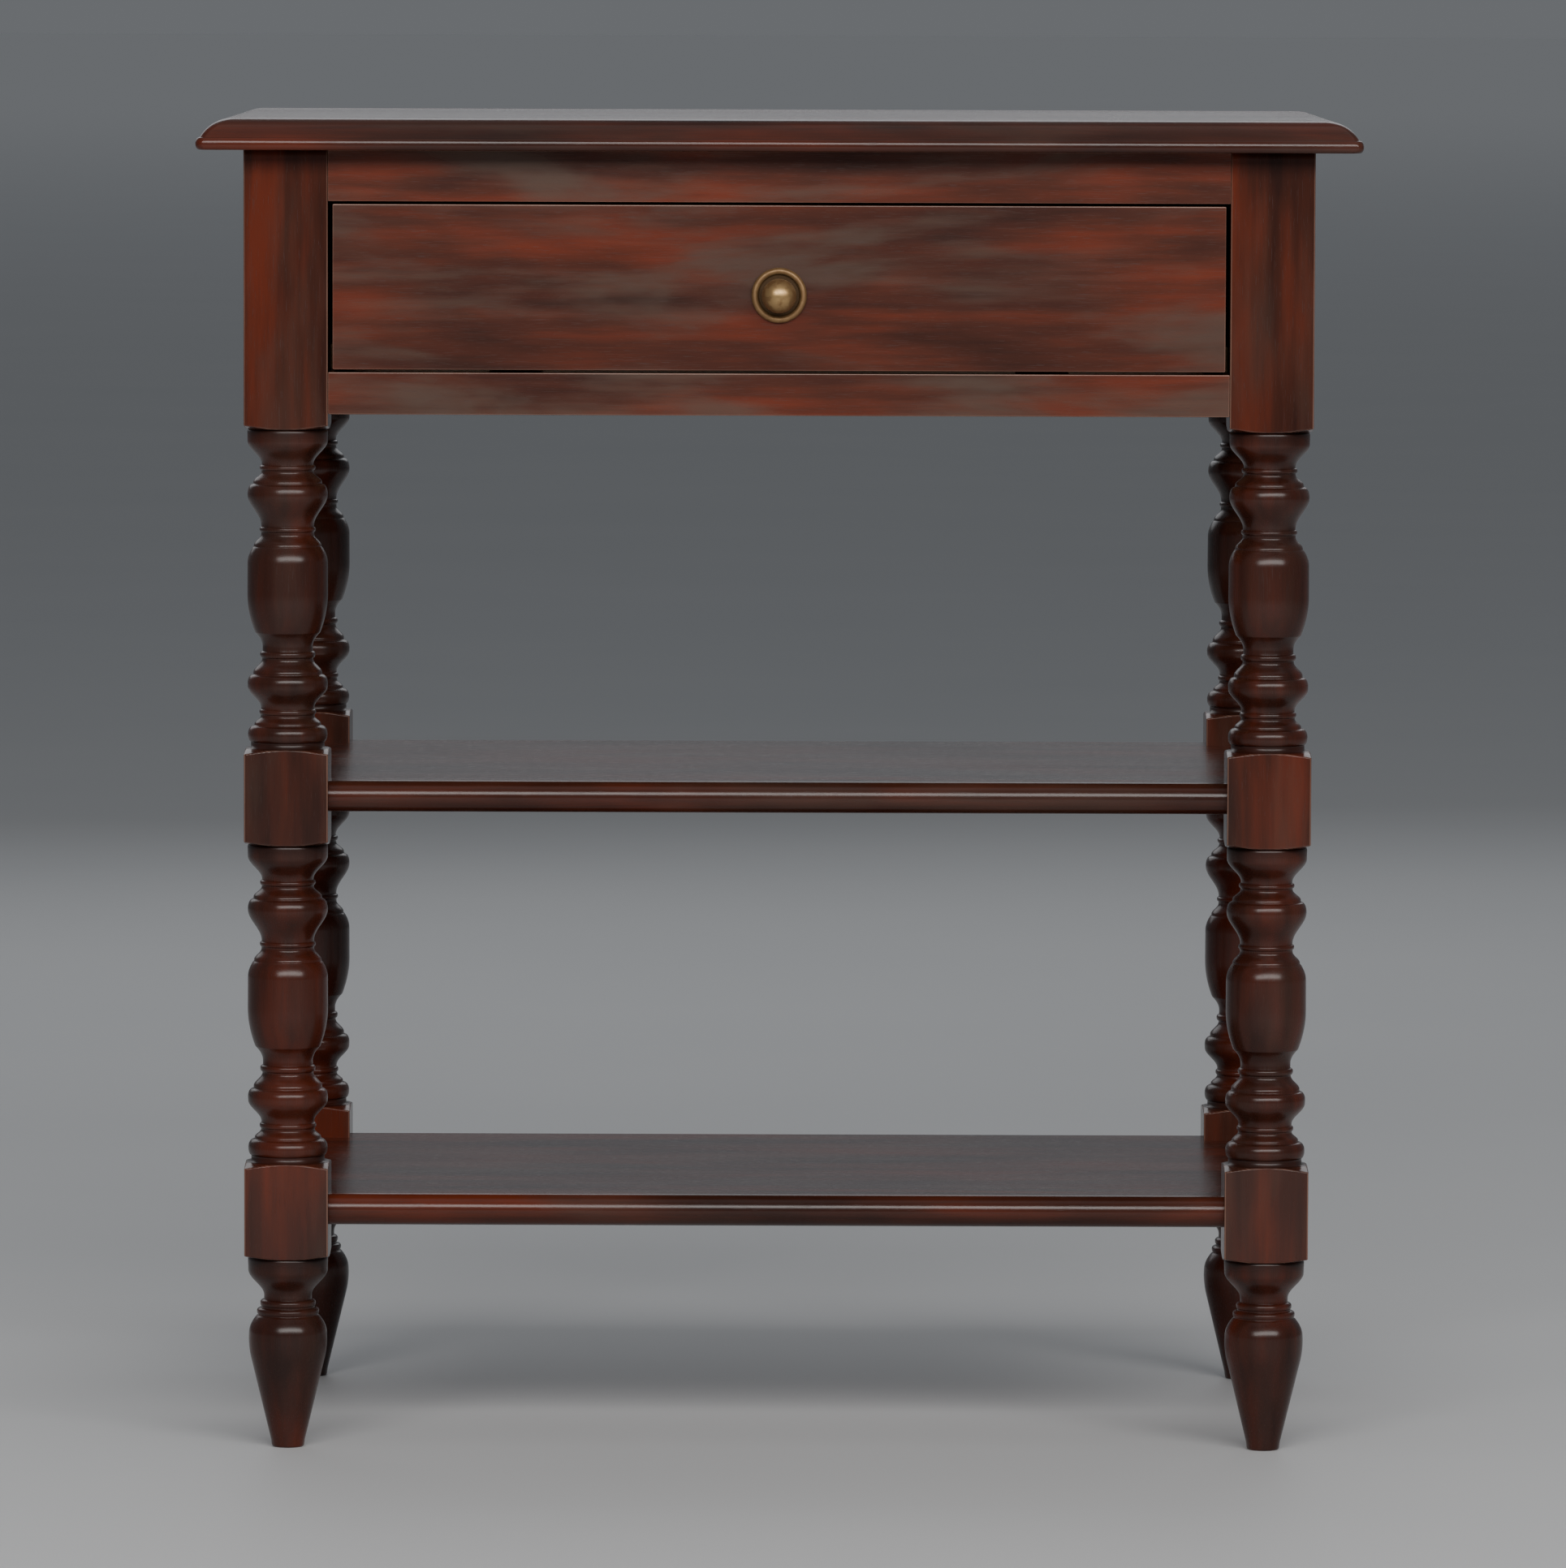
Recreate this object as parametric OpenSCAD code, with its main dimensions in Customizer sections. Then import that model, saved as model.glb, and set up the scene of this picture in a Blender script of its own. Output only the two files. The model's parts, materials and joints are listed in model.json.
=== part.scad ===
// Side table with one drawer, four turned legs and two open shelves.
// Units are millimetres. +Z is up, the front faces -Y and the origin is on the floor
// under the middle of the table.

/* [Overall] */
// Height from the floor to the top surface
table_h = 762; // [740:1:800]
// Width over the legs, left to right
frame_w = 608; // [560:2:760]
// Depth over the legs, front to back
frame_d = 352; // [330:2:420]

/* [Top] */
// Thickness of the top board
top_t = 18; // [16:1:22]
// How far the top stands out past the legs on every side
overhang = 26; // [24:1:40]
// Width of the rounded moulding along the edge of the top
moulding_w = 20; // [14:1:22]
// Height of the half-round bead under the moulding
bead_h = 7; // [5:0.2:8]
// How far that bead stands out
bead_out = 2; // [1:0.2:3]
// Radius of the top's corners, seen from above
top_corner = 5; // [2:0.5:10]

/* [Legs] */
// Side of the square leg stock
leg_sq = 48; // [46:1:50]
// Height of the turned foot below the lowest square block
foot_h = 110; // [100:1:130]
// Height of each square block that carries a shelf
block_h = 55; // [50:1:65]
// Length of each of the two turned stretches
turned_h = 182.5; // [175:0.5:190]
// How far the corners of a square block are cut back at its turned end
shoulder = 3; // [1:0.5:5]

/* [Drawer opening] */
// Height of the rail above the drawer
upper_rail_h = 29; // [26:1:36]
// Height of the opening that the drawer front fills
opening_h = 97; // [90:1:110]
// Height of the rail below the drawer
lower_rail_h = 24; // [22:1:30]
// Thickness of the upper rail
rail_t = 22; // [20:1:26]
// Thickness of the side and back aprons
apron_t = 18; // [16:1:20]
// How far the aprons sit in from the outer faces of the legs
apron_inset = 3; // [2:0.5:5]
// Length of the tenons on the rails and aprons
tenon_l = 20; // [16:1:22]
// Thickness of the tenons
tenon_t = 10; // [8:1:12]

/* [Drawer] */
// Gap at each end of the drawer front
gap_side = 2.5; // [1:0.5:3]
// Gap above and below the drawer front
gap_top = 1.5; // [1:0.5:2]
// Thickness of the drawer front
front_t = 20; // [18:1:22]
// Thickness of the drawer sides and back
side_t = 11; // [10:1:13]
// Depth of the drawer from its front face to the back of its sides
drawer_d = 316; // [280:1:318]
// Thickness of the drawer bottom
bottom_t = 6; // [4:1:6]
// Number of dovetails at each front corner
tails = 3; // [2:1:4]

/* [Shelves] */
// Thickness of the two shelves
shelf_t = 18; // [16:1:20]
// How far the rounded edges sit in from the outer faces of the legs
shelf_inset = 13; // [10:1:16]
// Diameter of the dowels that hold the shelves
dowel_d = 8; // [6:1:10]

/* [Knob] */
// Diameter of the round backplate
plate_d = 31.5; // [28:0.5:36]
// Diameter of the knob
knob_d = 19.6; // [16:0.2:24]
// How far the knob stands out from the drawer front
knob_out = 21; // [18:0.5:23]

/* [Hidden] */
$fn = 48;

// Heights of the levels up the leg
lower_block_z = foot_h;
lower_turned_z = lower_block_z + block_h;
middle_block_z = lower_turned_z + turned_h;
upper_turned_z = middle_block_z + block_h;
post_z = upper_turned_z + turned_h;
top_z = table_h - top_t;
upper_rail_z = top_z - upper_rail_h;
runner_z = upper_rail_z - opening_h;
lower_rail_z = runner_z - lower_rail_h;

// Places of the legs and aprons; left is -X, right is +X
half_w = frame_w / 2;
half_d = frame_d / 2;
leg_x = half_w - leg_sq / 2;
leg_y = half_d - leg_sq / 2;
post_in_x = half_w - leg_sq;
post_in_y = half_d - leg_sq;
apron_in_x = half_w - apron_inset - apron_t;
apron_in_y = half_d - apron_inset - apron_t;
moulding_step = [0.4, 0.2];     // in and up, between the bead and the moulding's arc
arc_start = 30;                 // degrees from the horizontal at which that arc starts
arc_n = 7;                      // straight stretches that stand for it
tenon_lip = 8;                  // shoulder above and below an apron tenon
mortise_gap = 1;                // room past the end of a tenon or a dowel

// Drawer: its sides run on the runners between the guides
run_gap = 0.5;                  // under the drawer sides
guide_gap = 1;                  // beside the drawer sides
drawer_w = 2 * (post_in_x - gap_side);
front_y = -half_d;
front_z = runner_z + gap_top;
front_h = opening_h - 2 * gap_top;
side_z = runner_z + run_gap;
side_h = front_h - 2;           // stops short of the kickers
groove = 5;                     // depth of the grooves that hold the drawer bottom
bottom_z = runner_z + 8;
back_dado = 4;                  // depth of the housing that holds the drawer back
back_y = front_y + drawer_d - side_t;
back_h = side_h - bottom_z + side_z - bottom_t - 6;
lap = 7;                        // wood left in front of the half-blind dovetails
guide_h = 14;
runner_h = 18;
runner_in_x = post_in_x - 18;
stop_h = 5;
stop_x = 150;
cleat_w = 400;
cleat_h = 20;

// Screws: [shank radius, head radius, head height]
wood_screw = [2, 4, 2.4];
panel_screw = [1.5, 3, 1.8];
screw_room = 0.1;               // hole radius over the screw's
top_screw_l = 30;
guide_screw_l = 24;
panel_screw_l = 20;
knob_screw_r = 2;
knob_screw_hole = 2.25;
knob_z = front_z + front_h / 2 - 4;

stain = [0.27, 0.11, 0.08];
lining = [0.62, 0.47, 0.30];
brass = [0.48, 0.37, 0.20];
steel = [0.62, 0.62, 0.64];
eps = 0.01;

// ---- Shapes that repeat ----

// A box from its lowest to its highest corner
module block(low, high) { translate(low) cube(high - low); }

// The same box on the left (side = -1) or on the right (side = 1)
module side_block(side, in_x, out_x, y, z) {
    block([side < 0 ? -out_x : in_x, y[0], z[0]], [side < 0 ? -in_x : out_x, y[1], z[1]]);
}

// Curve between two points [radius, depth] of a turned outline. "steep" and "flat" are quarters
// of an ellipse that start along and across the axis, "ogee" is an S, and "taper" and "swell"
// are parabolas that leave or reach the axis' own direction.
function sweep(a, b, how, n) = [for (i = [1:n]) let (
    t = i / n,
    r = how == "steep" ? 1 - cos(90 * t) : how == "flat" ? sin(90 * t) :
        how == "ogee" ? (1 - cos(180 * t)) / 2 : how == "taper" ? t * t : 1 - (1 - t) * (1 - t),
    d = how == "steep" ? sin(90 * t) : how == "flat" ? 1 - cos(90 * t) : t)
    [a[0] + (b[0] - a[0]) * r, a[1] + (b[1] - a[1]) * d]];

// Outline from steps [radius, depth, how it gets there]; no third word means straight. The depths
// were laid out for a length of laid_out, so a longer stretch keeps its rhythm.
function turned_outline(steps, z_top, h, laid_out) =
    [for (i = [0:len(steps) - 1], p = i > 0 && len(steps[i]) > 2 ?
        sweep(steps[i - 1], steps[i], steps[i][2], steps[i][1] - steps[i - 1][1] > 6 ? 6 : 3) :
        [steps[i]])
        [p[0], z_top - p[1] * h / laid_out]];

// One turned stretch from its top down
stretch = [
    [21.6, 0], [23, 2.2, "flat"], [22.9, 7], [14.7, 20.4, "ogee"],            // cap
    [14.7, 20.9], [15.9, 22.3, "flat"], [14.9, 23.8, "steep"], [14.9, 24.8],  // ring and groove
    [19.6, 30.6, "ogee"], [19.6, 31.4], [20.2, 31.9],                         // flare and fillet
    [22.9, 37.6, "flat"], [15, 55.6, "ogee"],                                 // upper bead
    [15, 56.2], [16, 57.6, "flat"], [15.1, 59, "steep"], [15.1, 60.4],
    [19.3, 66.8, "ogee"], [19.3, 67.4], [19.9, 67.9],
    [22.9, 77, "swell"], [23, 94], [18.6, 116.5, "taper"], [14.3, 124.6, "swell"],    // vase
    [14.3, 127.2], [15.8, 128.9, "flat"], [14.6, 131, "steep"], [14.6, 131.8],
    [19.6, 139.4, "ogee"], [19.6, 140.3], [20.2, 140.8],
    [22.9, 145.6, "flat"], [22.8, 147.4], [15.2, 159.6, "ogee"],              // lower bead
    [15.2, 160.4], [16.2, 162, "flat"], [15.4, 163.4, "steep"], [15.4, 164.4],
    [19, 168.8, "ogee"], [19, 169.4], [19.6, 169.9],
    [22.7, 174.6, "flat"], [21, 179, "steep"], [21, 182.5]];                  // base

stretch_l = 182.5;

// Turned foot from its top down
foot = [
    [22, 0], [23, 2, "flat"], [22.8, 7.6], [13.7, 22.4, "ogee"], [13.7, 24.8],        // cap and neck
    [15.9, 26.7, "flat"], [15.3, 28.6, "steep"], [15.3, 29.6],                        // two rings
    [17.8, 31.4, "flat"], [17.3, 33.2, "steep"], [17.3, 33.9], [18, 34.3],
    [22.4, 44.5, "swell"], [22.5, 47], [20.7, 60.5, "taper"],                         // urn
    [9.7, 106], [9.3, 109.2], [8.6, 110]];                                            // taper to the floor
foot_l = 110;

// The whole leg: turned stretches between square blocks. The outline runs past the
// corners of the stock wherever the leg stays square.
module leg_wood() {
    past = leg_sq * 0.75;
    flat = leg_sq / 2 - 0.4;
    intersection() {
        block([-leg_sq / 2, -leg_sq / 2, 0], [leg_sq / 2, leg_sq / 2, top_z]);
        rotate_extrude() polygon(concat(
            [[0, top_z], [past, top_z], [past, post_z + shoulder], [flat, post_z]],
            turned_outline(stretch, post_z, turned_h, stretch_l),
            [[flat, upper_turned_z], [past, upper_turned_z - shoulder],
                [past, middle_block_z + shoulder], [flat, middle_block_z]],
            turned_outline(stretch, middle_block_z, turned_h, stretch_l),
            [[flat, lower_turned_z], [past, lower_turned_z - shoulder],
                [past, lower_block_z + shoulder], [flat, lower_block_z]],
            turned_outline(foot, lower_block_z, foot_h, foot_l),
            [[0, 0]]));
    }
}

// Mortises and dowel holes of one leg, with the leg's axis at (side * leg_x, row * leg_y)
module leg(side, row) {
    difference() {
        translate([side * leg_x, row * leg_y, 0]) leg_wood();
        side_mortise(side, row);
        if (row < 0) {
            upper_rail_tenon(side, mortise_gap);
            lower_rail_tenon(side, mortise_gap);
        } else {
            back_tenon(side, mortise_gap);
        }
        for (z = [middle_block_z, lower_block_z]) shelf_dowel(side, row, z, mortise_gap);
    }
}

// Tenons, drawn a little longer when they cut their mortise
module upper_rail_tenon(side, extra = 0) {
    y = front_y + (rail_t - tenon_t) / 2;
    side_block(side, post_in_x, post_in_x + tenon_l + extra, [y, y + tenon_t],
        [upper_rail_z + 5, top_z - 5]);
}
module lower_rail_tenon(side, extra = 0) {
    side_block(side, post_in_x, post_in_x + tenon_l + extra, [front_y + 9, front_y + leg_sq - 9],
        [lower_rail_z + 6, runner_z - 6]);
}
module back_tenon(side, extra = 0) {
    y = apron_in_y + (apron_t - tenon_t) / 2;
    side_block(side, post_in_x, post_in_x + tenon_l + extra, [y, y + tenon_t],
        [lower_rail_z + tenon_lip, top_z - tenon_lip]);
}
module side_tenon(side, row, extra = 0) {
    x = apron_in_x + (apron_t - tenon_t) / 2;
    reach = post_in_y + tenon_l + extra;
    side_block(side, x, x + tenon_t, row < 0 ? [-reach, -post_in_y] : [post_in_y, reach],
        [lower_rail_z + tenon_lip, top_z - tenon_lip]);
}
module side_mortise(side, row) { side_tenon(side, row, mortise_gap); }

// Dowel between a leg's square block and a shelf, drawn longer when it cuts its hole
module shelf_dowel(side, row, block_z, extra = 0) {
    reach = 18;
    y = row * (half_d - shelf_inset - 15);
    translate([side * (post_in_x - reach - extra), y, block_z + block_h / 2])
        rotate([0, side * 90, 0]) cylinder(d = dowel_d, h = 2 * (reach + extra), $fn = 32);
}

// Countersunk screw with its point up and the face of its head at the origin
module countersunk(s, l, room = 0) {
    cylinder(r = s[0] + room, h = l + room, $fn = 24);
    cylinder(r1 = s[1] + room, r2 = s[0] + room, h = s[2], $fn = 24);
}
// The same screw with a cross slot in its head
module slotted_screw(s, l) {
    difference() {
        countersunk(s, l);
        for (a = [0, 90]) rotate(a) translate([-s[1] * 0.6, -0.5, -eps]) cube([s[1] * 1.2, 1, 1]);
    }
}

// Screws up through the upper rail, the kickers and the cleat into the top.
// Each place is [x, y, height of the head].
head_z = top_z - 18;
top_screw_places = concat(
    [for (s = [-1, 1]) [s * 140, front_y + rail_t / 2, head_z]],
    [for (s = [-1, 1], r = [-1, 1]) [s * (post_in_x - 2), r * 85, head_z]],
    [for (s = [-1, 1]) [s * 140, apron_in_y - 9, head_z]]);
module top_screw_holes() {
    for (p = top_screw_places) translate(p) {
        countersunk(wood_screw, top_screw_l, screw_room);
        translate([0, 0, -30]) cylinder(r = wood_screw[1] + 1, h = 30 + eps, $fn = 24);
    }
}
guide_screw_places = [for (s = [-1, 1], r = [-1, 1]) [s * (post_in_x + 12), r * 95,
    runner_z + guide_h]];
module guide_screw_holes() {
    for (p = guide_screw_places) translate(p) mirror([0, 0, 1])
        countersunk(wood_screw, guide_screw_l, screw_room);
}
panel_screw_places = [for (x = [-160, 0, 160]) [x, back_y + side_t / 2, bottom_z]];
module panel_screw_holes() {
    for (p = panel_screw_places) translate(p) countersunk(panel_screw, panel_screw_l, screw_room);
}

// ---- Carcase ----

// Moulded edge from the underside up: half-round bead, small step, then a shallow arc that
// ends level with the top
function moulding(half) = let (
    foot_in = bead_out + moulding_step[0],
    foot_up = bead_h + moulding_step[1])
    concat(
        sweep([half - bead_out, 0], [half, bead_h / 2], "flat", 4),
        sweep([half, bead_h / 2], [half - bead_out, bead_h], "steep", 4),
        [for (i = [0:arc_n]) let (
            a = arc_start + (90 - arc_start) * i / arc_n,
            rise = (sin(a) - sin(arc_start)) / (1 - sin(arc_start)))
            [half - foot_in - (moulding_w - foot_in) * (1 - cos(a) / cos(arc_start)),
                foot_up + (top_t - foot_up) * rise]]);
module top_section(half) {
    right = moulding(half);
    n = len(right);
    polygon(concat(right, [for (i = [1:n]) [-right[n - i][0], right[n - i][1]]]));
}
module table_top() {
    w = half_w + overhang;
    d = half_d + overhang;
    color(stain) difference() {
        translate([0, 0, top_z]) intersection() {
            rotate([90, 0, 0]) linear_extrude(2 * d, center = true) top_section(w);
            rotate([90, 0, 90]) linear_extrude(2 * w, center = true) top_section(d);
            linear_extrude(top_t) offset(r = top_corner, $fn = 48)
                square([2 * (w - top_corner), 2 * (d - top_corner)], center = true);
        }
        top_screw_holes();
    }
}

module leg_front_left() { color(stain) leg(-1, -1); }
module leg_front_right() { color(stain) leg(1, -1); }
module leg_back_left() { color(stain) leg(-1, 1); }
module leg_back_right() { color(stain) leg(1, 1); }

module drawer_rail_upper() {
    color(stain) difference() {
        union() {
            block([-post_in_x, front_y, upper_rail_z], [post_in_x, front_y + rail_t, top_z]);
            for (s = [-1, 1]) upper_rail_tenon(s);
        }
        top_screw_holes();
    }
}
module drawer_rail_lower() {
    color(stain) {
        block([-post_in_x, front_y, lower_rail_z], [post_in_x, front_y + leg_sq, runner_z]);
        for (s = [-1, 1]) lower_rail_tenon(s);
    }
}
module side_apron(side) {
    color(stain) {
        side_block(side, apron_in_x, apron_in_x + apron_t, [-post_in_y, post_in_y],
            [lower_rail_z, top_z]);
        for (row = [-1, 1]) side_tenon(side, row);
    }
}
module side_apron_left() { side_apron(-1); }
module side_apron_right() { side_apron(1); }
module back_apron() {
    color(stain) {
        block([-post_in_x, apron_in_y, lower_rail_z], [post_in_x, apron_in_y + apron_t, top_z]);
        for (s = [-1, 1]) back_tenon(s);
    }
}

// Strips that the drawer runs on, between and under. A strip fills the space beside the
// opening, and its narrower ends reach past the legs from front_end to the back apron.
module side_strip(side, front_end, z) {
    side_block(side, runner_in_x, apron_in_x, [-post_in_y, post_in_y], z);
    side_block(side, runner_in_x, post_in_x, [front_end, apron_in_y], z);
}
module drawer_runner(side) {
    color(lining) difference() {
        side_strip(side, -post_in_y, [runner_z - runner_h, runner_z]);
        guide_screw_holes();
    }
}
module drawer_runner_left() { drawer_runner(-1); }
module drawer_runner_right() { drawer_runner(1); }
module drawer_guide(side) {
    color(lining) difference() {
        side_block(side, drawer_w / 2 + guide_gap, apron_in_x, [-post_in_y, post_in_y],
            [runner_z, runner_z + guide_h]);
        guide_screw_holes();
    }
}
module drawer_guide_left() { drawer_guide(-1); }
module drawer_guide_right() { drawer_guide(1); }
module drawer_kicker(side) {
    color(lining) difference() {
        side_strip(side, front_y + rail_t, [upper_rail_z, top_z]);
        top_screw_holes();
    }
}
module drawer_kicker_left() { drawer_kicker(-1); }
module drawer_kicker_right() { drawer_kicker(1); }

// Two small blocks that the back of the drawer front meets when the drawer is shut
module drawer_stops() {
    y = front_y + front_t + 0.3;
    color(lining) for (s = [-1, 1]) translate([s * stop_x, y, runner_z])
        block([-15, 0, 0], [15, 20, stop_h]);
}
module top_cleat_back() {
    color(lining) difference() {
        block([-cleat_w / 2, apron_in_y - 18, top_z - cleat_h], [cleat_w / 2, apron_in_y, top_z]);
        top_screw_holes();
    }
}
module top_screws() {
    color(steel) for (p = top_screw_places) translate(p) slotted_screw(wood_screw, top_screw_l);
}
module guide_screws() {
    color(steel) for (p = guide_screw_places) translate(p) mirror([0, 0, 1])
        slotted_screw(wood_screw, guide_screw_l);
}

// ---- Shelves ----

// Board with a rounded edge on all four sides and its corners notched round the legs
module shelf_edge(half, length) {
    linear_extrude(length, center = true) {
        square([2 * half - shelf_t, shelf_t], center = true);
        for (s = [-1, 1]) translate([s * (half - shelf_t / 2), 0]) circle(d = shelf_t);
    }
}
module shelf(block_z) {
    color(stain) difference() {
        translate([0, 0, block_z + block_h / 2]) {
            rotate([90, 0, 90]) shelf_edge(half_d - shelf_inset, 2 * post_in_x);
            rotate([90, 0, 0]) shelf_edge(half_w - shelf_inset, 2 * post_in_y);
        }
        for (s = [-1, 1], r = [-1, 1]) shelf_dowel(s, r, block_z, mortise_gap);
    }
}
module middle_shelf() { shelf(middle_block_z); }
module lower_shelf() { shelf(lower_block_z); }
module shelf_dowels(block_z) {
    color(lining) for (s = [-1, 1], r = [-1, 1]) shelf_dowel(s, r, block_z);
}
module middle_shelf_dowels() { shelf_dowels(middle_block_z); }
module lower_shelf_dowels() { shelf_dowels(lower_block_z); }

// ---- Drawer ----

// Tails at the front end of a drawer side, seen along X: [distance back, height]
tail_pitch = (front_h - 12) / tails;
module tail_section() {
    for (i = [0:tails - 1]) translate([0, front_z + 6 + (i + 0.5) * tail_pitch])
        polygon([[0, -tail_pitch * 0.38], [0, tail_pitch * 0.38],
            [front_t - lap, tail_pitch * 0.26], [front_t - lap, -tail_pitch * 0.26]]);
}
module side_tails(side) {
    x = side < 0 ? -drawer_w / 2 : drawer_w / 2 - side_t;
    translate([x, front_y + lap, 0]) rotate([90, 0, 90]) linear_extrude(side_t) tail_section();
}
module drawer_bottom_panel() {
    x = drawer_w / 2 - side_t + groove;
    block([-x, front_y + front_t - groove - 1, bottom_z], [x, back_y + side_t, bottom_z + bottom_t]);
}
module drawer_front() {
    color(stain) difference() {
        block([-drawer_w / 2, front_y, front_z], [drawer_w / 2, front_y + front_t, front_z + front_h]);
        for (s = [-1, 1]) side_tails(s);
        drawer_bottom_panel();
        translate([0, front_y - eps, knob_z]) rotate([-90, 0, 0])
            cylinder(r = knob_screw_hole, h = front_t + 2 * eps, $fn = 24);
    }
}
module drawer_back_panel() {
    x = drawer_w / 2 - side_t + back_dado;
    block([-x, back_y, bottom_z + bottom_t], [x, back_y + side_t, bottom_z + bottom_t + back_h]);
}
module drawer_side(side) {
    color(lining) difference() {
        union() {
            side_block(side, drawer_w / 2 - side_t, drawer_w / 2,
                [front_y + front_t, front_y + drawer_d], [side_z, side_z + side_h]);
            side_tails(side);
        }
        drawer_bottom_panel();
        drawer_back_panel();
    }
}
module drawer_side_left() { drawer_side(-1); }
module drawer_side_right() { drawer_side(1); }
module drawer_back() {
    color(lining) difference() {
        drawer_back_panel();
        panel_screw_holes();
    }
}
module drawer_bottom() {
    color(lining) difference() {
        drawer_bottom_panel();
        panel_screw_holes();
    }
}
module drawer_bottom_screws() {
    color(steel) for (p = panel_screw_places) translate(p)
        slotted_screw(panel_screw, panel_screw_l);
}

// ---- Knob: turned about an axis that points out of the drawer front ----

plate_t = 1.6;                  // in the dish
plate_rim = 3.8;                // at the top of the rim
plate_edge = 0.7;               // rounding of the back edge
module on_front() { translate([0, front_y, knob_z]) rotate([90, 0, 0]) children(); }
module knob_backplate() {
    r = plate_d / 2;
    rim_top = r - 1.85;
    rim_in = r - 3.75;
    color(brass) on_front() rotate_extrude() polygon(concat(
        [[knob_screw_hole, 0], [r - plate_edge, 0]],
        sweep([r - plate_edge, 0], [r, plate_edge], "flat", 2),
        sweep([r, plate_rim - 2.6], [rim_top, plate_rim], "steep", 4),
        sweep([rim_top, plate_rim], [rim_in, plate_rim - 1.3], "flat", 3),
        [[rim_in - 0.5, plate_t], [knob_screw_hole, plate_t]]));
}
module knob() {
    r = knob_d / 2;
    waist = 4.6;
    ball_z = knob_out - r * 0.86;
    color(brass) on_front() difference() {
        rotate_extrude() polygon(concat(
            [[0, plate_t], [6.6, plate_t], [6.6, plate_t + 1]],
            sweep([6.6, plate_t + 1], [waist, plate_t + 4], "flat", 3),
            [[waist, ball_z - 6.6]],
            sweep([waist, ball_z - 6.6], [r, ball_z], "flat", 4),
            sweep([r, ball_z], [0, knob_out], "steep", 7)));
        translate([0, 0, plate_t - eps]) cylinder(r = knob_screw_r + screw_room, h = 9, $fn = 24);
    }
}
module knob_screw() {
    color(steel) on_front() translate([0, 0, -front_t]) difference() {
        union() {
            cylinder(r = knob_screw_r, h = front_t + plate_t + 8, $fn = 24);
            translate([0, 0, -2.2]) cylinder(r = 4, h = 2.2, $fn = 32);
        }
        for (a = [0, 90]) rotate(a) translate([-2.4, -0.5, -2.2 - eps]) cube([4.8, 1, 1.2]);
    }
}

table_top();
leg_front_left();
leg_front_right();
leg_back_left();
leg_back_right();
drawer_rail_upper();
drawer_rail_lower();
side_apron_left();
side_apron_right();
back_apron();
drawer_runner_left();
drawer_runner_right();
drawer_guide_left();
drawer_guide_right();
drawer_kicker_left();
drawer_kicker_right();
drawer_stops();
top_cleat_back();
top_screws();
guide_screws();
middle_shelf();
lower_shelf();
middle_shelf_dowels();
lower_shelf_dowels();
drawer_front();
drawer_side_left();
drawer_side_right();
drawer_back();
drawer_bottom();
drawer_bottom_screws();
knob_backplate();
knob();
knob_screw();
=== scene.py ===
import json
import math
import bmesh
import bpy
from mathutils import Matrix, Vector


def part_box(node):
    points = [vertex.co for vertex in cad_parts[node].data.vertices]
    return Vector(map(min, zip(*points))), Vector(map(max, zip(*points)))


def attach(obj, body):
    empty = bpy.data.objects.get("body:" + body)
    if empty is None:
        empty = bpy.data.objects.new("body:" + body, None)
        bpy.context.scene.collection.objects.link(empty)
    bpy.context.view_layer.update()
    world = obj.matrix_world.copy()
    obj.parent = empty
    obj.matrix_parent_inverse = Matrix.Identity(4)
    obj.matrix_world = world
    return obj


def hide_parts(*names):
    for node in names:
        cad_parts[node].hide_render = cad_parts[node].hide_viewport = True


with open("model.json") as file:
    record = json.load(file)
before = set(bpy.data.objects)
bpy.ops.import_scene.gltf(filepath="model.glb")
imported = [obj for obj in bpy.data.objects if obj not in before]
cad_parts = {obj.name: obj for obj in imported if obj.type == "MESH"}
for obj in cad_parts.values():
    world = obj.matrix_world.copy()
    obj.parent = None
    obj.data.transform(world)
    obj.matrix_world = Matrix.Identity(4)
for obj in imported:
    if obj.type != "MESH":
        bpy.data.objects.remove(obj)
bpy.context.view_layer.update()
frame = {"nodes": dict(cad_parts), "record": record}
nodes = frame["nodes"]
mm = 0.001


# Metres and degrees; the lens in millimetres
viewpoint = {"back": 6.217, "right": 0.0031, "height": 0.864, "pitch": 4.54, "roll": 0.19, "lens": 244.3,
             "sensor": 36, "clipEnd": 400}


def makeCamera(place):
    data = bpy.data.cameras.new("camera")
    data.lens = place["lens"]
    data.sensor_width = place["sensor"]
    data.clip_end = place["clipEnd"]
    camera = bpy.data.objects.new("camera", data)
    bpy.context.scene.collection.objects.link(camera)
    stand = Matrix.Translation((place["right"], -place["back"], place["height"]))
    tilt = Matrix.Rotation(math.radians(90 - place["pitch"]), 4, "X")
    roll = Matrix.Rotation(math.radians(place["roll"]), 4, "Z")
    camera.matrix_world = stand @ tilt @ roll
    bpy.context.scene.camera = camera


# name: where it stands, where it points, width, height, watts, colour
softBoxes = {
    "windowLight": ((0.45, -3.6, 2.2), (0, -0.2, 0.45), 5.4, 1.2, 165, (1.0, 0.975, 0.95)),
    "ceilingLight": ((0.2, -0.3, 3.4), (0, 0, 0.3), 3.6, 2.6, 10, (1.0, 0.985, 0.97)),
    "backLight": ((-0.6, 3.4, 1.9), (0, 0, 0.45), 4.5, 1.5, 19, (0.95, 0.97, 1.0)),
}
studioAir = {"colour": (0.60, 0.63, 0.67), "strength": 0.24}


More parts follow.
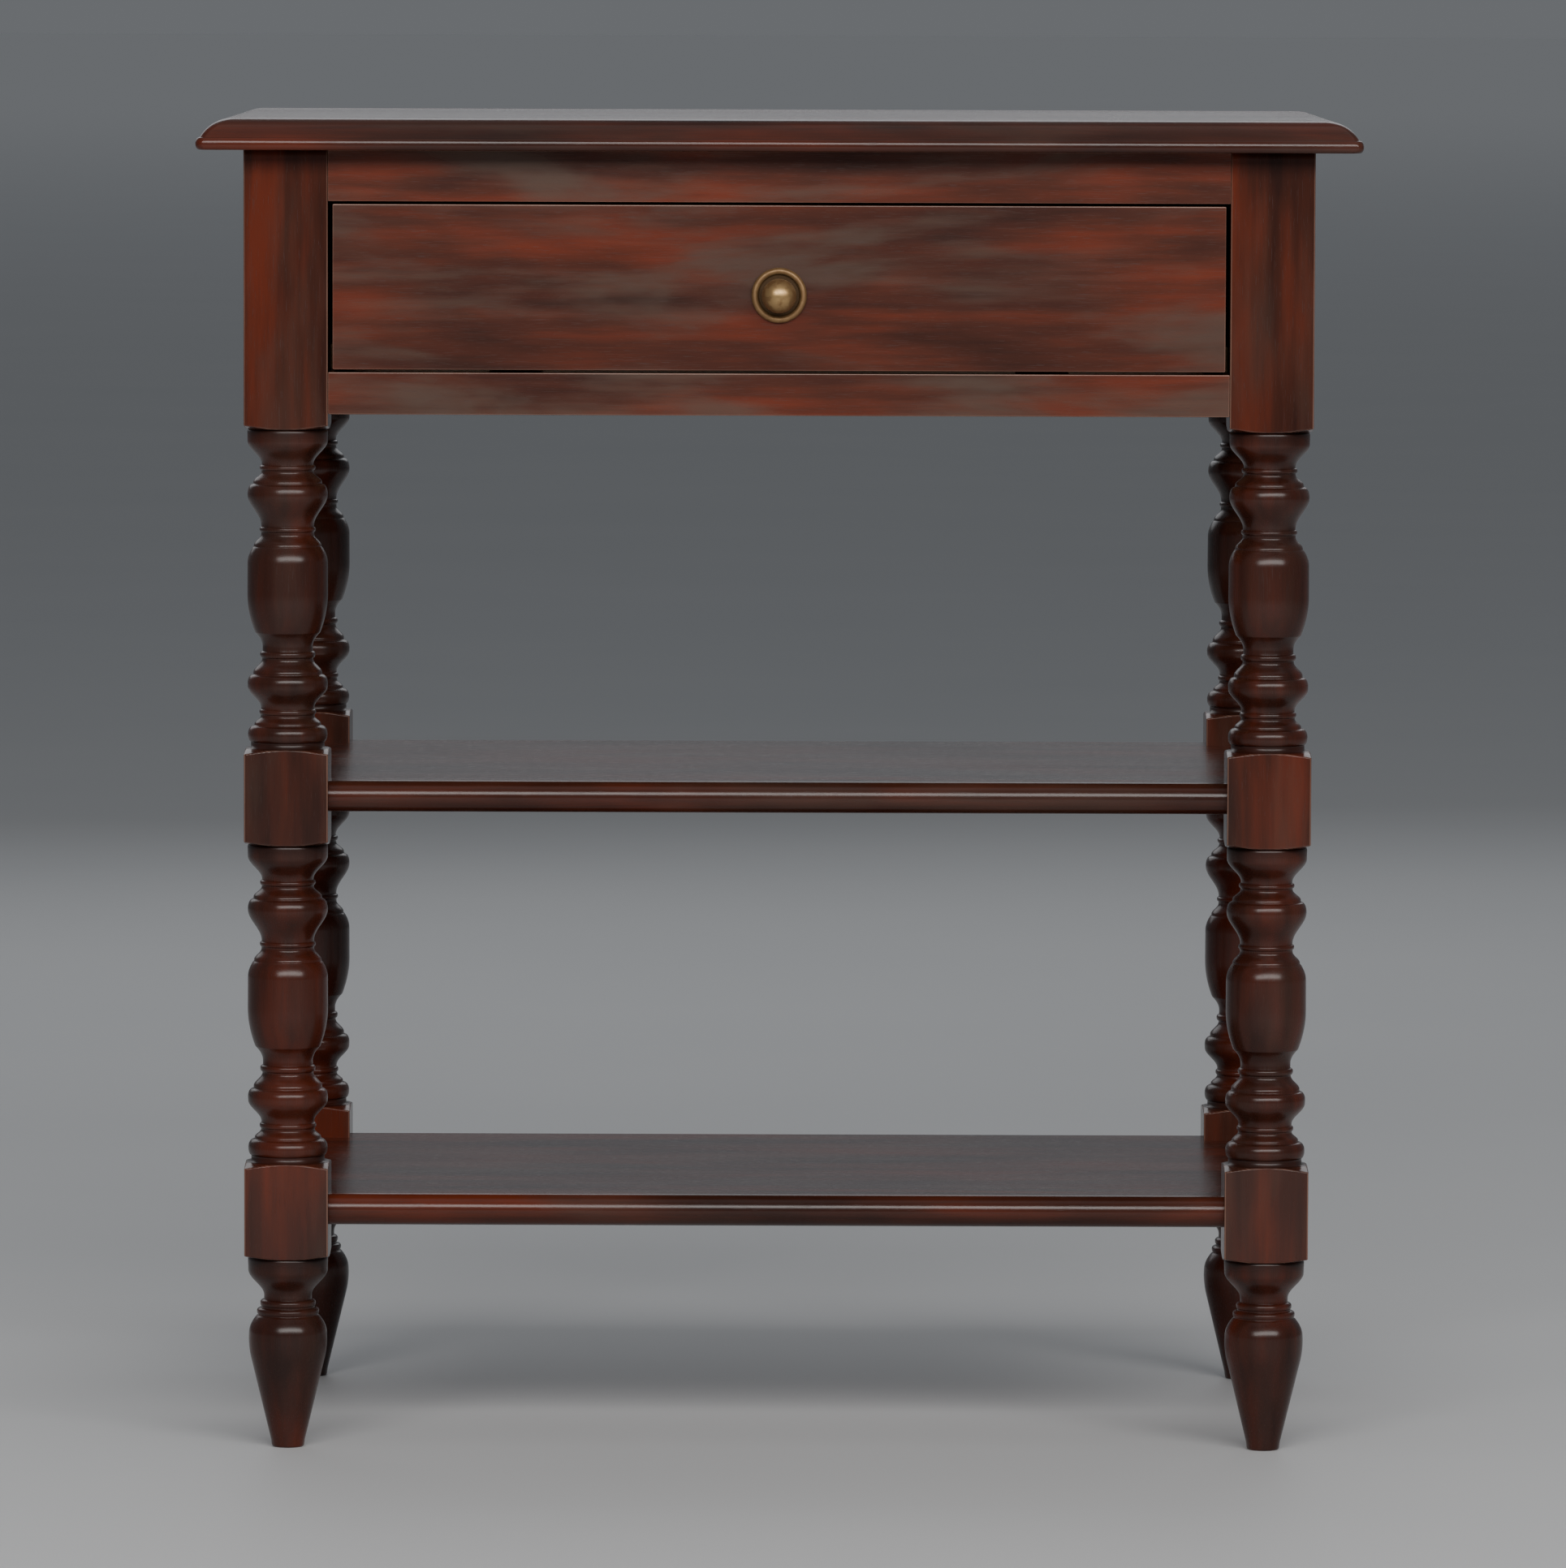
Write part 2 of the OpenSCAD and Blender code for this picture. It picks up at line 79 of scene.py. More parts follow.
def makeLights(boxes, air):
    for name, (stand, aim, width, height, watts, colour) in boxes.items():
        data = bpy.data.lights.new(name, "AREA")
        data.shape = "RECTANGLE"
        data.size = width
        data.size_y = height
        data.energy = watts
        data.color = colour
        lamp = bpy.data.objects.new(name, data)
        bpy.context.scene.collection.objects.link(lamp)
        lamp.location = stand
        lamp.visible_camera = False
        lamp.rotation_euler = (Vector(aim) - Vector(stand)).to_track_quat("-Z", "Y").to_euler()
    world = bpy.data.worlds.new("studio")
    bpy.context.scene.world = world
    world.use_nodes = True
    background = world.node_tree.nodes["Background"]
    background.inputs["Color"].default_value = (*air["colour"], 1)
    background.inputs["Strength"].default_value = air["strength"]


# A socket of a node tree that sums can be done with
class Sock:
    def __init__(self, graph, socket):
        self.graph = graph
        self.socket = socket

    def sums(self, operation, a, b):
        return self.graph.node("ShaderNodeMath", {"operation": operation}, {0: a, 1: b})

    def __add__(self, other):
        return self.sums("ADD", self, other)

    def __sub__(self, other):
        return self.sums("SUBTRACT", self, other)

    def __rsub__(self, other):
        return self.sums("SUBTRACT", other, self)

    def __mul__(self, other):
        return self.sums("MULTIPLY", self, other)

    def __truediv__(self, other):
        return self.sums("DIVIDE", self, other)

    def __rtruediv__(self, other):
        return self.sums("DIVIDE", other, self)

    def __pow__(self, other):
        return self.sums("POWER", self, other)

    __radd__ = __add__
    __rmul__ = __mul__


# A node tree that is built from Python
class Graph:
    def __init__(self, tree):
        self.tree = tree
        tree.nodes.clear()

    # any node: its type, its settings, the values or links of its sockets, and the outputs wanted
    def node(self, kind, settings=None, values=None, out=0):
        made = self.tree.nodes.new(kind)
        for key, value in (settings or {}).items():
            if key == "stops":
                self.setStops(made.color_ramp, value)
            else:
                setattr(made, key, value)
        for key, value in (values or {}).items():
            if isinstance(value, Sock):
                self.tree.links.new(value.socket, made.inputs[key])
            else:
                made.inputs[key].default_value = value
        if isinstance(out, tuple):
            return [Sock(self, made.outputs[o]) for o in out]
        return Sock(self, made.outputs[out]) if made.outputs else None

    def setStops(self, ramp, stops):
        while len(ramp.elements) < len(stops):
            ramp.elements.new(0.5)
        for element, (position, colour) in zip(ramp.elements, stops):
            element.position = position
            element.color = (*colour, 1)

    def one(self, operation, a, b=0.0):
        return self.node("ShaderNodeMath", {"operation": operation}, {0: a, 1: b})

    def between(self, low, high, value):
        span = {"From Min": low, "From Max": high, "Value": value}
        return self.node("ShaderNodeMapRange", {"interpolation_type": "SMOOTHSTEP"}, span)

    def vector(self, x, y, z):
        return self.node("ShaderNodeCombineXYZ", values={0: x, 1: y, 2: z})

    def mix(self, factor, a, b, blend="MIX"):
        settings = {"data_type": "RGBA", "blend_type": blend}
        return self.node("ShaderNodeMix", settings, {0: factor, 6: a, 7: b}, out=2)

    def noise(self, place, detail=2.0, rough=0.5, distortion=0.0):
        values = {"Vector": place, "Scale": 1, "Detail": detail, "Roughness": rough, "Distortion": distortion}
        return self.node("ShaderNodeTexNoise", values=values, out="Fac")

    def attribute(self, name):
        return self.node("ShaderNodeAttribute", {"attribute_name": name}, out="Fac")


def newMaterial(name):
    material = bpy.data.materials.new(name)
    material.use_nodes = True
    return material, Graph(material.node_tree)


def surface(graph, **values):
    named = {key.replace("_", " ").title().replace("Ior", "IOR"): value for key, value in values.items()}
    shader = graph.node("ShaderNodeBsdfPrincipled", values=named)
    graph.node("ShaderNodeOutputMaterial", values={"Surface": shader})


def flat(colour):
    return (*colour, 1)


# A finish for wood. How much of its grey patches shows is their share: they are a painted reflection, a
# dull sheen. The colour of rubbed edges is laid on for wear, and as a painted highlight along board edges
# that face up, and the pieces bring attributes "hollow" for grime and painted shade in hollows, and "arris"
# for wear and that painted highlight.
mahogany = {
    "dark": (0.034, 0.0110, 0.0070), "mid": (0.068, 0.0180, 0.0100), "red": (0.150, 0.0270, 0.0115),
    "sheenGrey": (0.078, 0.052, 0.039), "sheenShare": 0.74, "wearAndHighlight": (0.34, 0.19, 0.14),
    "roughness": 0.27, "ior": 1.40, "grainDepth": 0.035, "grainHeight": 0.0006, "contrast": 1.0,
}
turnedMahogany = dict(mahogany, sheenShare=0.32, roughness=0.18)
mouldedMahogany = dict(mahogany, sheenShare=0.30, roughness=0.19)
lining = {
    "dark": (0.16, 0.085, 0.04), "mid": (0.30, 0.175, 0.09), "red": (0.42, 0.26, 0.15),
    "sheenGrey": (0.33, 0.22, 0.13), "sheenShare": 0.3, "wearAndHighlight": (0.45, 0.31, 0.19),
    "roughness": 0.62, "ior": 1.45, "grainDepth": 0.22, "grainHeight": 0.0006, "contrast": 0.8,
}
grainTurn = {"x": (0, 0, 0), "y": (0, 0, -math.pi / 2), "z": (0, math.pi / 2, 0)}


def woodMaterial(name, wood, grain, seed=0.0, boardWidth=0.0, darker=1.0):
    material, g = newMaterial(name)
    here = g.node("ShaderNodeTexCoord", out="Object")
    here = g.node("ShaderNodeMapping", values={"Vector": here, "Rotation": grainTurn[grain],
                  "Location": (seed * 1.31, seed * 0.17, seed * 0.23)})
    along, across, deep = g.node("ShaderNodeSeparateXYZ", values={0: here}, out=("X", "Y", "Z"))
    boardTone = 0.5
    if boardWidth:  # boards glued side by side, each with its own grain and tone
        board = g.one("FLOOR", across / boardWidth + 0.5)
        boardTone = g.node("ShaderNodeTexWhiteNoise", {"noise_dimensions": "1D"}, {"W": board + seed},
                           out="Value")
        along = along + boardTone * 3
        deep = deep + boardTone * 0.9

    sway = g.noise(g.vector(along * 2.2, across * 7, deep * 7), 2) - 0.5      # slow bends
    wavyAcross = across + sway * 0.016
    wavyDeep = deep + sway * 0.012
    clouds = g.noise(g.vector(along * 5.5, wavyAcross * 24, wavyDeep * 24), 3, 0.55, 0.25)
    streaks = g.noise(g.vector(along * 7, wavyAcross * 105, wavyDeep * 105), 3, 0.5)
    fibres = g.noise(g.vector(along * 34, wavyAcross * 900, wavyDeep * 900), 3, 0.6)
    patches = g.noise(g.vector(along * 6.5 + 7, wavyAcross * 30, wavyDeep * 30), 4, 0.55, 0.3)
    pores = g.between(0.62, 0.72, g.noise(g.vector(along * 100, wavyAcross * 2400, wavyDeep * 2400), 1))

    tone = (clouds - 0.5) * 0.70 + (streaks - 0.5) * 0.34 + (fibres - 0.5) * 0.09
    tone = tone * wood["contrast"] + (boardTone - 0.5) * 0.06 + 0.5
    stops = [(0.36, wood["dark"]), (0.48, wood["mid"]), (0.64, wood["red"])]
    colour = g.node("ShaderNodeValToRGB", {"stops": stops}, {0: tone})
    # grey patches laid into the colour: a painted reflection of the room, a dull sheen
    sheenGrey = g.between(0.46, 0.64, patches * 0.8 + streaks * 0.2) * wood["sheenShare"]
    colour = g.mix(sheenGrey, colour, flat(wood["sheenGrey"]))
    colour = g.mix(pores * 0.35, colour, flat(wood["dark"]))
    # the hollow attribute darkens: grime, and painted shade in the turned grooves; on the legs also the
    # turned parts as a whole
    colour = g.mix(g.attribute("hollow") * 0.75, colour, flat([c * 0.5 for c in wood["dark"]]))
    # rubbed edges, and a painted highlight along board edges that face up
    wearAndHighlightShare = g.attribute("arris") * (g.between(0.35, 0.6, patches) * 0.5 + 0.5)
    colour = g.mix(wearAndHighlightShare, colour, flat(wood["wearAndHighlight"]))
    colour = g.mix(1.0, colour, flat([darker] * 3), "MULTIPLY")

    height = fibres * 0.5 - pores * 0.8 + streaks * 0.3
    bump = g.node("ShaderNodeBump", values={"Strength": wood["grainDepth"],
                                            "Distance": wood["grainHeight"], "Height": height})
    rough = wood["roughness"] + patches * 0.10 - 0.05 + pores * 0.12 + g.attribute("hollow") * 0.12
    surface(g, base_color=colour, roughness=rough, normal=bump, ior=wood["ior"])
    return material


brass = {"bright": (0.47, 0.31, 0.14), "aged": (0.23, 0.130, 0.055), "grimeAndShade": (0.055, 0.028, 0.009)}
steel = {"bright": (0.52, 0.52, 0.53), "dull": (0.26, 0.26, 0.27)}


def brassMaterial():
    material, g = newMaterial("agedBrass")
    here = g.node("ShaderNodeTexCoord", out="Object")
    cloud = g.noise(g.node("ShaderNodeMapping", values={"Vector": here, "Scale": (190, 190, 190)}), 4, 0.6)
    scratch = g.noise(g.node("ShaderNodeMapping", values={"Vector": here, "Scale": (2600, 2600, 420)}), 2)
    age = g.one("MINIMUM", g.between(0.42, 0.72, cloud) * 0.7 + g.attribute("arris"), 1)
    colour = g.mix(age, flat(brass["bright"]), flat(brass["aged"]))
    # the hollow attribute darkens the brass: grime, with painted shade in the dish and behind the ball
    colour = g.mix(g.attribute("hollow") * 0.92, colour, flat(brass["grimeAndShade"]))
    bump = g.node("ShaderNodeBump", values={"Strength": 0.06, "Distance": 0.0002, "Height": scratch + cloud})
    rough = 0.24 + cloud * 0.14 + g.attribute("hollow") * 0.25 + g.attribute("arris") * 0.16
    metal = 1 - g.attribute("arris") * 0.6
    surface(g, base_color=colour, metallic=metal, roughness=rough, normal=bump)
    return material


def steelMaterial():
    material, g = newMaterial("platedSteel")
    here = g.node("ShaderNodeTexCoord", out="Object")
    cloud = g.noise(g.node("ShaderNodeMapping", values={"Vector": here, "Scale": (400, 400, 400)}), 3)
    surface(g, base_color=g.mix(cloud, flat(steel["bright"]), flat(steel["dull"])), metallic=1.0,
            roughness=0.28 + cloud * 0.2)
    return material


# In metres; far off, the floor grows as pale as the air above it, so that no edge shows
floorPlan = {"one": (0.60, 0.61, 0.62), "other": (0.64, 0.645, 0.65), "far": (0.97, 0.97, 0.97),
             "fadeFrom": 9, "fadeTo": 50, "reach": 90, "roughness": 0.55}


def floorMaterial(plan):
    material, g = newMaterial("paleFloor")
    here = g.node("ShaderNodeTexCoord", out="Object")
    cloud = g.noise(g.node("ShaderNodeMapping", values={"Vector": here, "Scale": (2, 2, 2)}), 3)
    colour = g.mix(cloud, flat(plan["one"]), flat(plan["other"]))
    away = g.node("ShaderNodeVectorMath", {"operation": "LENGTH"}, {0: here}, out="Value")
    colour = g.mix(g.between(plan["fadeFrom"], plan["fadeTo"], away), colour, flat(plan["far"]))
    surface(g, base_color=colour, roughness=plan["roughness"])
    return material


makeCamera(viewpoint)
makeLights(softBoxes, studioAir)
print("camera and lights placed")

# darker scales each piece's wood to how bright that piece shows lit: for the darkened top, shelves and legs
# this is partly painted shade, beside the wood's own tone
finishes = {
    "legs": woodMaterial("mahoganyLegs", turnedMahogany, "z", seed=1.0, darker=0.78),
    "top": woodMaterial("mahoganyTop", mouldedMahogany, "x", seed=2.0, boardWidth=0.136, darker=0.68),
    "rails": woodMaterial("mahoganyRails", mahogany, "x", seed=3.0, darker=1.14),
    "sides": woodMaterial("mahoganySides", mahogany, "y", seed=4.0),
    "shelves": woodMaterial("mahoganyShelves", mouldedMahogany, "x", seed=5.0, boardWidth=0.110, darker=0.78),
    "front": woodMaterial("mahoganyDrawerFront", mahogany, "x", seed=6.0, darker=1.03),
    "liningX": woodMaterial("bareWoodAcross", lining, "x", seed=7.0),
    "liningY": woodMaterial("bareWoodAlong", lining, "y", seed=8.0),
    "brass": brassMaterial(),
    "steel": steelMaterial(),
}
print("finishes mixed")


def addObject(name, mesh, material=None):
    piece = bpy.data.objects.new(name, mesh)
    bpy.context.scene.collection.objects.link(piece)
    if material:
        mesh.materials.clear()
        mesh.materials.append(material)
    return piece


def keepPiece(piece, nodeNames, body):
    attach(piece, body)
    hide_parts(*nodeNames)
    return piece


def bodyOf(node):
    return next(b for b, members in frame["record"]["behaviour"]["bodies"].items() if node in members)


def smoothAll(mesh):
    for face in mesh.polygons:
        face.use_smooth = True


def crispNormals(piece, sharpFrom=38):
    bm = bmesh.new()
    bm.from_mesh(piece.data)
    for edge in bm.edges:
        if len(edge.link_faces) == 2 and edge.calc_face_angle() > math.radians(sharpFrom):
            edge.smooth = False
    bm.to_mesh(piece.data)
    bm.free()
    weigh = piece.modifiers.new("crispNormals", "WEIGHTED_NORMAL")
    weigh.keep_sharp = True
    weigh.weight = 60


def setFloat(mesh, name, values):
    layer = mesh.attributes.new(name, "FLOAT", "POINT")
    layer.data.foreach_set("value", values)


# Loft of closed loops with the same number of points, closed by a face at each end
def loftLoops(name, loops):
    size = len(loops[0])
    verts = [p for loop in loops for p in loop]
    faces = []
    for row in range(len(loops) - 1):
        for i in range(size):
            j = (i + 1) % size
            faces.append((row * size + i, row * size + j, (row + 1) * size + j, (row + 1) * size + i))
    faces.append(tuple(range(size))[::-1])
    faces.append(tuple(range((len(loops) - 1) * size, len(loops) * size)))
    mesh = bpy.data.meshes.new(name)
    mesh.from_pydata(verts, [], faces)
    turnOutwards(mesh)
    smoothAll(mesh)
    return mesh


def turnOutwards(mesh):
    bm = bmesh.new()
    bm.from_mesh(mesh)
    bmesh.ops.recalc_face_normals(bm, faces=bm.faces)
    bm.to_mesh(mesh)
    bm.free()


# How far along (radius, depth) each kind of curve is at its share t: "steep" and "flat" are quarters
# of an ellipse that start along and across the axis, "ogee" is an S, and "taper" and "swell" are
# parabolas that leave or reach the axis' own direction.
curves = {
    "steep": lambda t: (1 - math.cos(math.pi / 2 * t), math.sin(math.pi / 2 * t)),
    "flat": lambda t: (math.sin(math.pi / 2 * t), 1 - math.cos(math.pi / 2 * t)),
    "ogee": lambda t: ((1 - math.cos(math.pi * t)) / 2, t),
    "taper": lambda t: (t * t, t),
    "swell": lambda t: (1 - (1 - t) ** 2, t),
}


# An outline runs from its start through steps (how, radius, depth), where "to" is straight
def turnOutline(steps, start):
    points = []
    for how, radius, depth in steps:
        if how == "to":
            points.append((radius, depth))
            continue
        r, d = points[-1]
        count = 14 if abs(depth - d) > 6 else 8
        for i in range(1, count + 1):
            across, along = curves[how](i / count)
            points.append((r + (radius - r) * across, d + (depth - d) * along))
    return [Vector((r * mm, (start - d) * mm)) for r, d in points]


# Rounds each crisp corner of an outline a little, so that it catches the light
def softCorners(points, size):
    soft = [points[0]]
    for before, here, after in zip(points, points[1:], points[2:]):
        a, b = before - here, after - here
        if min(a.length, b.length) < 1e-7 or a.angle(-b) < math.radians(24):
            soft.append(here)
            continue
        reach = min(size, a.length * 0.35, b.length * 0.35)
        p, q = here + a.normalized() * reach, here + b.normalized() * reach
        soft += [p, (p + q) / 4 + here / 2, q]
    return soft + [points[-1]]


# How far each point of an outline lies in a hollow, from 0 to 1
def hollows(points, window, depth):
    values = []
    for p in points:
        near = [q.x for q in points if abs(q.y - p.y) < window]
        values.append(max(0.0, min(1.0, (sum(near) / len(near) - p.x) / depth)))
    return values


# Starts a geometry tree with named inputs, given as {name: kind}
def openTree(tree, sockets):
    for name, kind in sockets.items():
        tree.interface.new_socket(name, in_out="INPUT", socket_type="NodeSocket" + kind)
    tree.interface.new_socket("Geometry", in_out="OUTPUT", socket_type="NodeSocketGeometry")
    return Graph(tree)


# Turns an outline, whose points lie at (radius, 0, height), out of square stock: where the outline is
# wider than the stock, the stock's flat sides stay
def latheTree():
    tree = bpy.data.node_groups.new("latheTurning", "GeometryNodeTree")
    sockets = {"Outline": "Geometry", "Around": "Int", "Stock Half": "Float", "Corner Sharpness": "Float",
               "Crowding": "Float", "Blend": "Float", "Edge Wear": "Float", "Corner Wear": "Float",
               "Square From": "Float", "Finish": "Material"}
    g = openTree(tree, sockets)
    outline, around, half, sharp, crowd, blend, edgeWear, cornerWear, squareFrom, finish = g.node(
        "NodeGroupInput", out=tuple(sockets))
    rows = g.node("GeometryNodeAttributeDomainSize", values={0: outline}, out="Point Count")
    sheet = g.node("GeometryNodeMeshGrid", values={"Vertices X": around + 1, "Vertices Y": rows}, out="Mesh")
    index = g.node("GeometryNodeInputIndex")
    column = g.one("FLOOR", (index + 0.5) / rows)
    row = index - column * rows
    point = g.node("GeometryNodeSampleIndex", {"data_type": "FLOAT_VECTOR"},
                   {"Geometry": outline, "Value": g.node("GeometryNodeInputPosition"), "Index": row})
    radius, height = g.node("ShaderNodeSeparateXYZ", values={0: point}, out=("X", "Z"))
    even = column * (2 * math.pi) / around
    angle = even + g.one("SINE", even * 4) * crowd / 4          # crowds the columns at the corners
    cosine, sine = g.one("COSINE", angle), g.one("SINE", angle)
    spread = g.one("ABSOLUTE", cosine) ** sharp + g.one("ABSOLUTE", sine) ** sharp
    stock = half / spread ** (1 / sharp)                        # the square stock, corners eased
    reach = g.node("ShaderNodeMath", {"operation": "SMOOTH_MIN"}, {0: radius, 1: stock, 2: blend})
    edge = 1 - g.one("MINIMUM", g.one("ABSOLUTE", radius - stock) / edgeWear, 1)
    offCorner = g.one("ABSOLUTE", g.one("ABSOLUTE", cosine) - g.one("ABSOLUTE", sine))
    corner = 1 - g.one("MINIMUM", offCorner / cornerWear, 1)
    square = g.one("MINIMUM", g.one("MAXIMUM", (radius - stock) / squareFrom, 0), 1)
    arris = g.one("MAXIMUM", edge, corner * square)
    place = g.vector(reach * cosine, reach * sine, height)
    turned = g.node("GeometryNodeSetPosition", values={"Geometry": sheet, "Position": place})
    for name, extra in (("hollow", 0), ("arris", arris)):
        named = g.node("GeometryNodeInputNamedAttribute", {"data_type": "FLOAT"}, {"Name": name})
        given = g.node("GeometryNodeSampleIndex", {"data_type": "FLOAT"},
                       {"Geometry": outline, "Value": named, "Index": row})
        turned = g.node("GeometryNodeStoreNamedAttribute", {"data_type": "FLOAT", "domain": "POINT"},
                        {"Geometry": turned, "Name": name, "Value": given + extra})
    turned = g.node("GeometryNodeMergeByDistance", values={"Geometry": turned, "Distance": 2e-6})
    turned = g.node("GeometryNodeRealizeInstances", values={0: turned})
    turned = g.node("GeometryNodeSetMaterial", values={"Geometry": turned, "Material": finish})
    g.node("NodeGroupOutput", values={"Geometry": turned})
    return tree


# Runs a node tree on a mesh and gives back the plain mesh that comes out
def runTree(tree, mesh, inputs):
    carrier = addObject("carrier", mesh)
    modifier = carrier.modifiers.new("tree", "NODES")
    modifier.node_group = tree
    names = {item.name: item.identifier for item in tree.interface.items_tree if item.in_out == "INPUT"}
    for name, value in inputs.items():
        modifier[names[name]] = value
    graph = bpy.context.evaluated_depsgraph_get()
    graph.update()
    made = bpy.data.meshes.new_from_object(carrier.evaluated_get(graph), depsgraph=graph)
    bpy.data.objects.remove(carrier)
    return made


turning = latheTree()
# In metres, but for "Corner Wear": how softly turning meets flat, and how far the wear of edges reaches
turningBlend = {"Blend": 0.0016, "Edge Wear": 0.0006, "Corner Wear": 0.02, "Square From": 0.001}
roundStock = {"Stock Half": 1.0, "Corner Sharpness": 40.0, "Crowding": 0.0}     # wider than any outline


def lathe(name, points, around, finish, stock=roundStock, hollow=None, arris=None):
    outline = bpy.data.meshes.new(name + "Outline")
    outline.from_pydata([(p.x, 0, p.y) for p in points], [], [])
    setFloat(outline, "hollow", hollow or [0.0] * len(points))
    setFloat(outline, "arris", arris or [0.0] * len(points))
    mesh = runTree(turning, outline, {"Around": around, "Finish": finish, **stock, **turningBlend})
    mesh.name = name
    turnOutwards(mesh)
    smoothAll(mesh)
    return mesh


legTurning = {
    "stretch": [  # one turned stretch, 182.5 mm, from its top down: cap, bead, vase, bead, base
        ("to", 21.6, 0.0), ("flat", 23.0, 2.2), ("to", 22.9, 7.0), ("ogee", 14.7, 20.4),
        ("to", 14.7, 20.9), ("flat", 15.9, 22.3), ("steep", 14.9, 23.8), ("to", 14.9, 24.8),
        ("ogee", 19.6, 30.6), ("to", 19.6, 31.4), ("to", 20.2, 31.9), ("flat", 22.9, 37.6),
        ("ogee", 15.0, 55.6), ("to", 15.0, 56.2), ("flat", 16.0, 57.6), ("steep", 15.1, 59.0),
        ("to", 15.1, 60.4), ("ogee", 19.3, 66.8), ("to", 19.3, 67.4), ("to", 19.9, 67.9),
        ("swell", 22.9, 77.0), ("to", 23.0, 94.0), ("taper", 18.6, 116.5), ("swell", 14.3, 124.6),
        ("to", 14.3, 127.2), ("flat", 15.8, 128.9), ("steep", 14.6, 131.0), ("to", 14.6, 131.8),
        ("ogee", 19.6, 139.4), ("to", 19.6, 140.3), ("to", 20.2, 140.8), ("flat", 22.9, 145.6),
        ("to", 22.8, 147.4), ("ogee", 15.2, 159.6), ("to", 15.2, 160.4), ("flat", 16.2, 162.0),
        ("steep", 15.4, 163.4), ("to", 15.4, 164.4), ("ogee", 19.0, 168.8), ("to", 19.0, 169.4),
        ("to", 19.6, 169.9), ("flat", 22.7, 174.6), ("steep", 21.0, 179.0), ("to", 21.0, 182.5)],
    "foot": [  # the foot, 110 mm, from its top down: cap, neck, two rings, urn, taper
        ("to", 22.0, 0.0), ("flat", 23.0, 2.0), ("to", 22.8, 7.6), ("ogee", 13.7, 22.4),
        ("to", 13.7, 24.8), ("flat", 15.9, 26.7), ("steep", 15.3, 28.6), ("to", 15.3, 29.6),
        ("flat", 17.8, 31.4), ("steep", 17.3, 33.2), ("to", 17.3, 33.9), ("to", 18.0, 34.3),
        ("swell", 22.4, 44.5), ("to", 22.5, 47.0), ("taper", 20.7, 60.5), ("to", 9.7, 106.0),
        ("to", 9.3, 109.2), ("to", 8.6, 110.0)],
    "turnedLength": 182.5, "blockHeight": 55.0, "shoulder": 3.0,
    "around": 96, "corner": 44.0, "crowding": 0.72, "softness": 0.35 * mm, "turnedDarkening": 0.52,
    "hollowWindow": 6.0 * mm, "hollowDepth": 7.5 * mm, "past": 1.5,
}


# The turned end of a square block: the outline climbs past the stock's corners
def shoulderRows(z, rise, half, past, steps=9):
    start = half - 0.4 * mm
    return [Vector((start + (past - half) * i / steps, z + rise * i / steps)) for i in range(steps + 1)]


def legOutline(turn, half, top):
    foot = turn["foot"][-1][2] * mm
    block, length = turn["blockHeight"] * mm, turn["turnedLength"] * mm
    rise, past = turn["shoulder"] * mm, half * turn["past"]
    middle = foot + block + length
    blocks = [(middle + block + length, top), (middle, middle + block), (foot, foot + block)]  # post first
    points = [Vector((0, top)), Vector((half * 0.9, top)), Vector((past, top - 0.001 * mm))]
    for number, (low, high) in enumerate(blocks):
        if number:
            points += shoulderRows(high, -rise, half, past)
        for gap in (1, 4):
            points.append(Vector((past, high - rise - gap * mm)))
        for gap in (4, 1):
            points.append(Vector((past, low + rise + gap * mm)))
        points += shoulderRows(low, rise, half, past)[::-1]
        steps = turn["foot"] if number == 2 else turn["stretch"]
        points += softCorners(turnOutline(steps, low / mm), turn["softness"])
    return points + [Vector((0, 0))]


def makeLegs():
    low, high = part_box("leg_front_left")
    half = (high.x - low.x) / 2
    points = legOutline(legTurning, half, high.z)
    turnedShare = legTurning["turnedDarkening"]                                # the turned parts are darkened as a whole, beyond their hollows
    # the deeper a point lies in a hollow, the darker: grime and painted shade in the grooves
    deep = hollows(points, legTurning["hollowWindow"], legTurning["hollowDepth"])
    dark = [min(1.0, h + turnedShare * (p.x < half)) for h, p in zip(deep, points)]
    stock = {"Stock Half": half, "Corner Sharpness": legTurning["corner"], "Crowding": legTurning["crowding"]}
    master = lathe("leg", points, legTurning["around"], finishes["legs"], stock, dark)
    for row in ("Front", "Back"):
        for side in ("Left", "Right"):
            node = f"leg_{row.lower()}_{side.lower()}"
            low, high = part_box(node)
            mesh = master.copy()
            mesh.transform(Matrix.Translation(((low.x + high.x) / 2, (low.y + high.y) / 2, 0)))
            keepPiece(addObject(f"leg{row}{side}", mesh), [node], "frame")
    print("legs turned:", len(master.polygons), "faces each")


makeLegs()


# Millimetres and degrees. The edge runs up a half-round bead, over a step and along a shallow arc.
topBoard = {"bead": 7.0, "beadOut": 2.0, "stepIn": 0.4, "stepUp": 0.2, "moulding": 20.0, "arcStart": 30,
            "corner": 5.0, "steps": 16, "border": (3, 2)}
shelfSteps = 20


# A rectangle with rounded corners at height z
def cornerRound(halfX, halfY, radius, z, steps=5):
    loop = []
    for sx, sy, start in ((1, -1, -90), (1, 1, 0), (-1, 1, 90), (-1, -1, 180)):
        for i in range(steps + 1):
            a = math.radians(start + 90 * i / steps)
            x, y = sx * (halfX - radius) + radius * math.cos(a), sy * (halfY - radius) + radius * math.sin(a)
            loop.append((x, y, z))
    return loop


